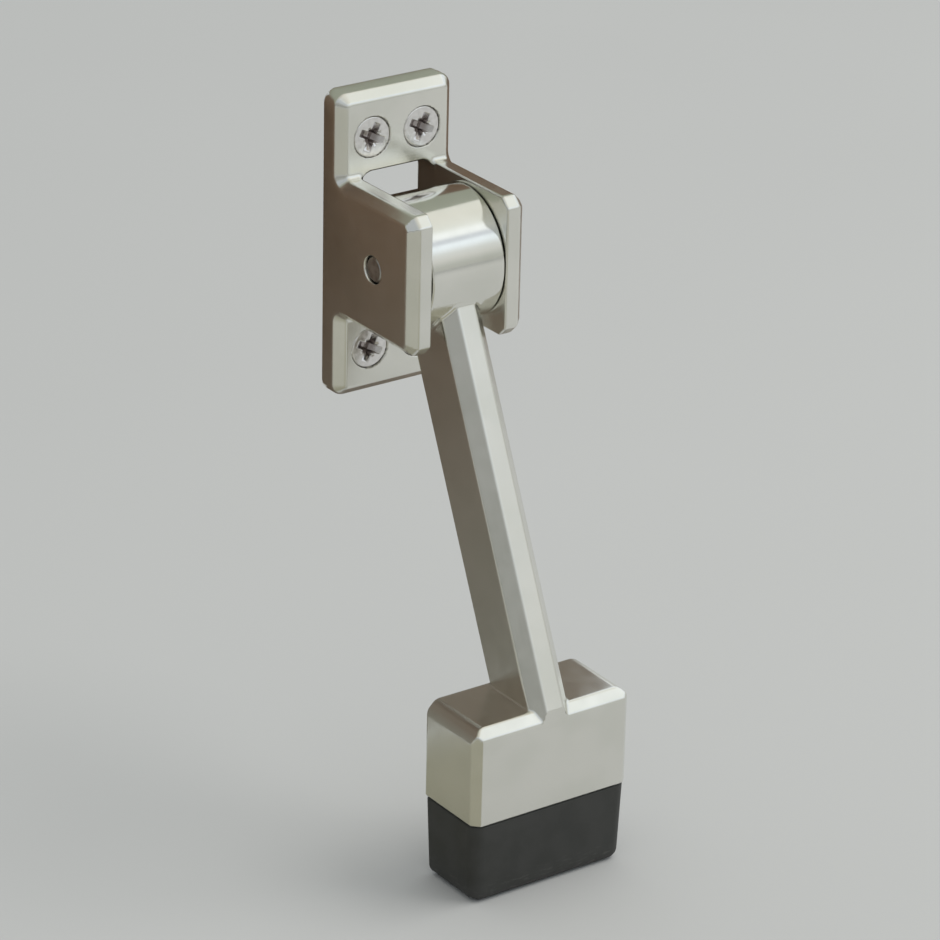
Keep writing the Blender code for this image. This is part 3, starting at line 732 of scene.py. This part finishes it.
class Look:
    """A material under construction, with short ways to add its nodes."""

    def __init__(self, name, colour, metallic, roughness):
        self.material = bpy.data.materials.new(name)
        self.material.use_nodes = True
        self.tree = self.material.node_tree
        self.shader = self.tree.nodes["Principled BSDF"]
        self.shader.inputs["Base Color"].default_value = (*colour, 1.0)
        self.shader.inputs["Metallic"].default_value = metallic
        self.shader.inputs["Roughness"].default_value = roughness
        self.place = self.tree.nodes.new("ShaderNodeTexCoord").outputs["Object"]

    def link(self, source, target):
        self.tree.links.new(source, target)

    def set(self, socket, value):
        if isinstance(value, bpy.types.NodeSocket):
            self.link(value, socket)
        else:
            socket.default_value = value

    def stretched(self, scale, turn=0.0):
        """The piece's own coordinates, turned about X and scaled along each axis."""
        turned = self.tree.nodes.new("ShaderNodeMapping")
        turned.inputs["Rotation"].default_value = (turn, 0, 0)
        self.link(self.place, turned.inputs["Vector"])
        scaled = self.tree.nodes.new("ShaderNodeMapping")
        scaled.inputs["Scale"].default_value = scale
        self.link(turned.outputs["Vector"], scaled.inputs["Vector"])
        return scaled.outputs["Vector"]

    def noise(self, size, detail=3.0, where=None):
        """Noise with lumps of about this size, in metres."""
        node = self.tree.nodes.new("ShaderNodeTexNoise")
        node.inputs["Scale"].default_value = 1.0 if where else 1.0 / size
        node.inputs["Detail"].default_value = detail
        self.link(where or self.place, node.inputs["Vector"])
        return node.outputs["Fac"]

    def calc(self, operation, a, b=0.0):
        node = self.tree.nodes.new("ShaderNodeMath")
        node.operation = operation
        self.set(node.inputs[0], a)
        self.set(node.inputs[1], b)
        return node.outputs[0]

    def ranged(self, value, from_low, from_high, to_low, to_high):
        node = self.tree.nodes.new("ShaderNodeMapRange")
        node.interpolation_type = "SMOOTHSTEP"
        self.set(node.inputs["Value"], value)
        for key, number in (("From Min", from_low), ("From Max", from_high),
                            ("To Min", to_low), ("To Max", to_high)):
            self.set(node.inputs[key], number)
        return node.outputs["Result"]

    def mixed(self, factor, a, b):
        node = self.tree.nodes.new("ShaderNodeMix")
        node.data_type = "RGBA"
        self.set(node.inputs["Factor"], factor)
        for socket, colour in ((node.inputs["A"], a), (node.inputs["B"], b)):
            self.set(socket, colour if isinstance(colour, bpy.types.NodeSocket) else (*colour, 1.0))
        return node.outputs["Result"]

    def colour(self, socket):
        self.link(socket, self.shader.inputs["Base Color"])

    def roughness(self, socket):
        self.link(socket, self.shader.inputs["Roughness"])

    def bump(self, *layers):
        """Surface relief from (height, depth in metres) layers."""
        normal = None
        for height, depth in layers:
            node = self.tree.nodes.new("ShaderNodeBump")
            self.set(node.inputs["Height"], height)
            self.set(node.inputs["Distance"], depth)
            if normal:
                self.link(normal, node.inputs["Normal"])
            normal = node.outputs["Normal"]
        self.link(normal, self.shader.inputs["Normal"])


def satin_nickel(polished_hub=False):
    """Satin nickel plating on a zinc casting, with a polished hub barrel where there is one."""
    name = "satin_nickel_lever" if polished_hub else "satin_nickel"
    look = Look(name, (0.81, 0.82, 0.78), 1.0, 0.25)
    clouds = look.noise(11 * MM, 3.0)
    smudges = look.noise(3.2 * MM, 1.0)
    grain = look.noise(0.7 * MM, 1.0)
    look.colour(look.mixed(look.ranged(clouds, 0.35, 0.65, 0.0, 1.0),
                           (0.805, 0.80, 0.745), (0.85, 0.84, 0.79)))
    along = ARM_LEAN if polished_hub else 0.0
    lines = look.noise(0.0, 2.0, look.stretched((2200, 2200, 60), along))
    satin = look.ranged(smudges, 0.3, 0.7, 0.205, 0.262)
    satin = look.calc("ADD", satin, look.ranged(lines, 0.3, 0.7, -0.008, 0.008))
    if polished_hub:
        parts = look.tree.nodes.new("ShaderNodeSeparateXYZ")
        look.link(look.place, parts.inputs["Vector"])
        y = look.calc("SUBTRACT", parts.outputs["Y"], PIVOT[1])
        z = look.calc("SUBTRACT", parts.outputs["Z"], PIVOT[2])
        far = look.calc("SQRT", look.calc("ADD", look.calc("MULTIPLY", y, y),
                                          look.calc("MULTIPLY", z, z)))
        off_hub = look.ranged(far, HUB_RADIUS + 0.05 * MM, HUB_RADIUS + 0.6 * MM, 0.0, 1.0)
        turned = look.noise(0.0, 2.0, look.stretched((2600, 45, 45)))
        polish = look.ranged(turned, 0.3, 0.7, 0.10, 0.15)
        step = look.calc("MULTIPLY", look.calc("SUBTRACT", satin, polish), off_hub)
        look.roughness(look.calc("ADD", polish, step))
        relief = look.calc("ADD", look.calc("MULTIPLY", grain, off_hub),
                           look.calc("MULTIPLY", turned, 0.25))
    else:
        look.roughness(satin)
        relief = grain
    look.bump((clouds, 0.012 * MM), (lines, 0.0004 * MM), (relief, 0.0010 * MM))
    return look.material


def bright_steel(name, roughness, shaded_recess=False):
    """Bright zinc plating on a screw, with painted shade darkening it down in its recess, or the
    steel of a ball.
    """
    look = Look(name, (0.80, 0.78, 0.77), 1.0, roughness)
    stains = look.noise(1.1 * MM, 4.0)
    grain = look.noise(0.12 * MM, 2.0)
    plating = look.mixed(look.ranged(stains, 0.35, 0.65, 0.0, 1.0),
                         (0.76, 0.74, 0.73), (0.88, 0.86, 0.85))
    # Painted shade: the plating turns darker down in the recess, where shade falls.
    if shaded_recess:
        parts = look.tree.nodes.new("ShaderNodeSeparateXYZ")
        look.link(look.place, parts.inputs["Vector"])
        recess_shade = look.ranged(parts.outputs["Z"], -0.3 * MM, -1.6 * MM, 0.0, 1.0)
        plating = look.mixed(recess_shade, plating, (0.40, 0.36, 0.35))
    look.colour(plating)
    look.roughness(look.ranged(stains, 0.3, 0.7, roughness * 0.7, roughness * 1.3))
    look.bump((stains, 0.012 * MM), (grain, 0.0015 * MM))
    return look.material


def plain_steel():
    """Steel with a drawn surface and a little oil on it."""
    look = Look("plain_steel", (0.50, 0.49, 0.48), 1.0, 0.35)
    stains = look.noise(1.6 * MM, 4.0)
    drawn = look.noise(0.0, 2.0, look.stretched((300, 5000, 5000)))
    look.colour(look.mixed(look.ranged(stains, 0.35, 0.65, 0.0, 1.0),
                           (0.40, 0.39, 0.38), (0.58, 0.57, 0.55)))
    look.roughness(look.ranged(stains, 0.3, 0.7, 0.29, 0.42))
    look.bump((drawn, 0.002 * MM))
    return look.material


def sintered_bronze():
    """Porous bearing bronze."""
    look = Look("sintered_bronze", (0.62, 0.42, 0.20), 1.0, 0.45)
    pores = look.noise(0.25 * MM, 3.0)
    look.colour(look.mixed(look.ranged(pores, 0.4, 0.6, 0.0, 1.0),
                           (0.44, 0.28, 0.12), (0.68, 0.47, 0.24)))
    look.roughness(look.ranged(pores, 0.35, 0.65, 0.60, 0.36))
    look.bump((pores, 0.02 * MM))
    return look.material


def white_nylon():
    look = Look("white_nylon", (0.82, 0.81, 0.76), 0.0, 0.5)
    haze = look.noise(0.8 * MM, 3.0)
    look.colour(look.mixed(look.ranged(haze, 0.3, 0.7, 0.0, 1.0),
                           (0.76, 0.74, 0.68), (0.86, 0.85, 0.81)))
    look.roughness(look.ranged(haze, 0.3, 0.7, 0.42, 0.58))
    look.bump((haze, 0.01 * MM))
    return look.material


def moulded_rubber():
    """Black moulded rubber with a fine skin, and paler scuffs near the floor."""
    look = Look("moulded_rubber", (0.045, 0.045, 0.040), 0.0, 0.6)
    clouds = look.noise(7 * MM, 4.0)
    skin = look.noise(0.35 * MM, 3.0)
    scuffs = look.noise(0.0, 4.0, look.stretched((420, 420, 1500)))
    tone = look.mixed(look.ranged(clouds, 0.35, 0.65, 0.0, 1.0),
                      (0.030, 0.031, 0.028), (0.045, 0.045, 0.042))
    parts = look.tree.nodes.new("ShaderNodeSeparateXYZ")
    look.link(look.place, parts.inputs["Vector"])
    low = look.ranged(parts.outputs["Z"], FLOOR, FLOOR + 6 * MM, 1.0, 0.0)
    dust = look.calc("MULTIPLY", low, look.ranged(scuffs, 0.52, 0.72, 0.0, 0.55))
    look.colour(look.mixed(dust, tone, (0.12, 0.118, 0.11)))
    look.roughness(look.ranged(clouds, 0.3, 0.7, 0.52, 0.68))
    look.bump((clouds, 0.05 * MM), (skin, 0.012 * MM))
    return look.material


def dress(piece, material):
    """Gives a piece its material."""
    if len(piece.material_slots) == 0:
        piece.data.materials.append(material)
        return
    for slot in piece.material_slots:
        slot.material = material


# The studio.

def flat_mesh(name, corners):
    mesh = bpy.data.meshes.new(name)
    mesh.from_pydata(corners, [], [tuple(range(len(corners)))])
    return mesh


def build_floor():
    reach = 3.0
    corners = [(-reach, -reach, FLOOR), (reach, -reach, FLOOR), (reach, reach, FLOOR),
               (-reach, reach, FLOOR)]
    floor = copied(flat_mesh("studio_floor", corners), "studio_floor")
    look = Look("floor_paint", (0.62, 0.62, 0.62), 0.0, 0.6)
    clouds = look.noise(0.25, 3.0)
    look.colour(look.mixed(clouds, (0.545, 0.545, 0.54), (0.58, 0.58, 0.575)))
    look.shader.inputs["Specular IOR Level"].default_value = 0.0
    dress(floor, look.material)


def build_door_card():
    """A dark board where the door would be. Only the metal's reflections see it."""
    left, right = -0.35, 0.063
    low, high = FLOOR + 5 * MM, 0.40
    behind, in_window = 0.4 * MM, -0.5 * MM
    half = BRACKET_HIGH.x
    bottom, top = BRACKET_LOW.z, BRACKET_HIGH.z
    window_low = PIVOT[2] - WINDOW_HALF_HEIGHT
    window_high = PIVOT[2] + WINDOW_HALF_HEIGHT
    panels = [
        (left, -half, low, high, behind), (half, right, low, high, behind),
        (-half, half, low, bottom, behind), (-half, half, top, high, behind),
        (-EAR_GAP, EAR_GAP, window_low, window_high, in_window),
    ]
    corners = []
    faces = []
    for x0, x1, z0, z1, y in panels:
        start = len(corners)
        corners += [(x0, y, z0), (x1, y, z0), (x1, y, z1), (x0, y, z1)]
        faces.append((start, start + 1, start + 2, start + 3))
    mesh = bpy.data.meshes.new("door_card")
    mesh.from_pydata(corners, [], faces)
    card = copied(mesh, "door_card")
    look = Look("card_paint", (0.17, 0.105, 0.065), 0.0, 0.7)
    streaks = look.noise(0.0, 4.0, look.stretched((400, 400, 12)))
    wood = look.mixed(streaks, (0.15, 0.088, 0.052), (0.24, 0.155, 0.10))
    parts = look.tree.nodes.new("ShaderNodeSeparateXYZ")
    look.link(look.place, parts.inputs["Vector"])
    near_floor = look.ranged(parts.outputs["Z"], FLOOR, 0.0, 1.0, 0.0)
    board = look.mixed(near_floor, wood, (0.31, 0.29, 0.25))
    over_plate = look.ranged(parts.outputs["Z"], top - 0.5 * MM, top + 1 * MM, 0.0, 1.0)
    look.colour(look.mixed(over_plate, board, (0.46, 0.48, 0.40)))
    dress(card, look.material)
    reflections_only(card)


def build_floor_shade_card():
    """A dull sheet of painted floor shade beside the foot, darker towards the foot. Only the
    metal's reflections see it.
    """
    left, right, front = -0.5, -0.022, -0.4
    z = FLOOR + 0.4 * MM
    corners = [(left, front, z), (right, front, z), (right, 0, z), (left, 0, z)]
    card = copied(flat_mesh("floor_shade_sheet", corners), "floor_shade_sheet")
    look = Look("floor_shade_paint", (0.4, 0.38, 0.3), 0.0, 0.7)
    clouds = look.noise(0.05, 3.0)
    parts = look.tree.nodes.new("ShaderNodeSeparateXYZ")
    look.link(look.place, parts.inputs["Vector"])
    # Painted shade: the sheet grows darker towards the foot.
    near = look.ranged(parts.outputs["X"], -0.20, -0.03, 0.0, 1.0)
    far_tone = look.mixed(clouds, (0.47, 0.46, 0.41), (0.53, 0.52, 0.47))
    look.colour(look.mixed(near, far_tone, (0.36, 0.345, 0.27)))
    dress(card, look.material)
    reflections_only(card)


def reflections_only(card):
    card.visible_camera = False
    card.visible_diffuse = False
    card.visible_shadow = False
    card.visible_transmission = False


def build_world():
    """Soft daylight: two bright bands high up in front, and a paler room behind them."""
    world = bpy.data.worlds.new("studio_air")
    world.use_nodes = True
    bpy.context.scene.world = world
    tree = world.node_tree
    background = tree.nodes["Background"]
    place = tree.nodes.new("ShaderNodeTexCoord")
    parts = tree.nodes.new("ShaderNodeSeparateXYZ")
    tree.links.new(place.outputs["Generated"], parts.inputs["Vector"])
    ramp = tree.nodes.new("ShaderNodeValToRGB")
    stops = [
        # elevation in degrees: colour
        (-90, (0.45, 0.45, 0.43)), (-3, (0.47, 0.48, 0.45)), (4, (0.50, 0.52, 0.49)),
        (12, (0.67, 0.68, 0.66)), (20, (0.74, 0.77, 0.77)), (28, (0.98, 1.07, 1.15)),
        (31, (0.98, 1.07, 1.15)), (34.5, (0.68, 0.73, 0.80)), (37, (0.68, 0.73, 0.80)),
        (41, (1.06, 1.11, 1.13)), (45, (1.06, 1.11, 1.13)), (50, (0.86, 0.89, 0.85)),
        (60, (0.83, 0.83, 0.77)), (90, (0.74, 0.72, 0.65)),
    ]
    elements = ramp.color_ramp.elements
    while len(elements) < len(stops):
        elements.new(0.5)
    for element, (elevation, colour) in zip(elements, stops):
        element.position = (1 + math.sin(math.radians(elevation))) / 2
        element.color = (*colour, 1.0)
    height = tree.nodes.new("ShaderNodeMapRange")
    height.inputs["From Min"].default_value = -1.0
    tree.links.new(parts.outputs["Z"], height.inputs["Value"])
    tree.links.new(height.outputs["Result"], ramp.inputs["Fac"])
    tree.links.new(ramp.outputs["Color"], background.inputs["Color"])
    side = tree.nodes.new("ShaderNodeMapRange")
    side.interpolation_type = "SMOOTHSTEP"
    side.inputs["From Min"].default_value = -0.9
    side.inputs["From Max"].default_value = 0.4
    side.inputs["To Min"].default_value = 0.55
    side.inputs["To Max"].default_value = 1.0
    tree.links.new(parts.outputs["X"], side.inputs["Value"])
    tree.links.new(side.outputs["Result"], background.inputs["Strength"])


def area_light(name, place, aim, width, height, power, colour=(1, 1, 1)):
    data = bpy.data.lights.new(name, "AREA")
    data.shape = "RECTANGLE"
    data.size = width
    data.size_y = height
    data.energy = power
    data.color = colour
    lamp = bpy.data.objects.new(name, data)
    bpy.context.scene.collection.objects.link(lamp)
    lamp.location = place
    lamp.rotation_euler = (Vector(aim) - Vector(place)).to_track_quat("-Z", "Y").to_euler()
    lamp.visible_camera = False
    lamp.visible_glossy = False


def build_lights():
    middle = (0.0, -0.03, -0.05)
    area_light("key_softbox", (0.75, -0.45, 1.10), middle, 0.9, 0.7, 7.0, (1.0, 0.99, 0.96))


def build_camera():
    """The camera looks down at the holder from its left front."""
    data = bpy.data.cameras.new("camera")
    data.sensor_width = 36.0
    data.lens = CAMERA_LENS
    data.clip_start = 0.05
    data.clip_end = 20.0
    camera = bpy.data.objects.new("camera", data)
    bpy.context.scene.collection.objects.link(camera)
    turn = Matrix.Rotation(CAMERA_AZIMUTH, 4, "Z")
    turn = turn @ Matrix.Rotation(math.pi / 2 - CAMERA_ELEVATION, 4, "X")
    turn = turn @ Matrix.Rotation(-CAMERA_ROLL, 4, "Z")
    camera.matrix_world = Matrix.Translation(CAMERA_PLACE) @ turn
    bpy.context.scene.camera = camera


build_castings()
build_rubber()
build_screws()
build_balls()
build_spring()
finish_small_nodes()
build_floor()
build_door_card()
build_floor_shade_card()
build_world()
build_lights()
build_camera()
bpy.context.scene.view_settings.view_transform = "Standard"
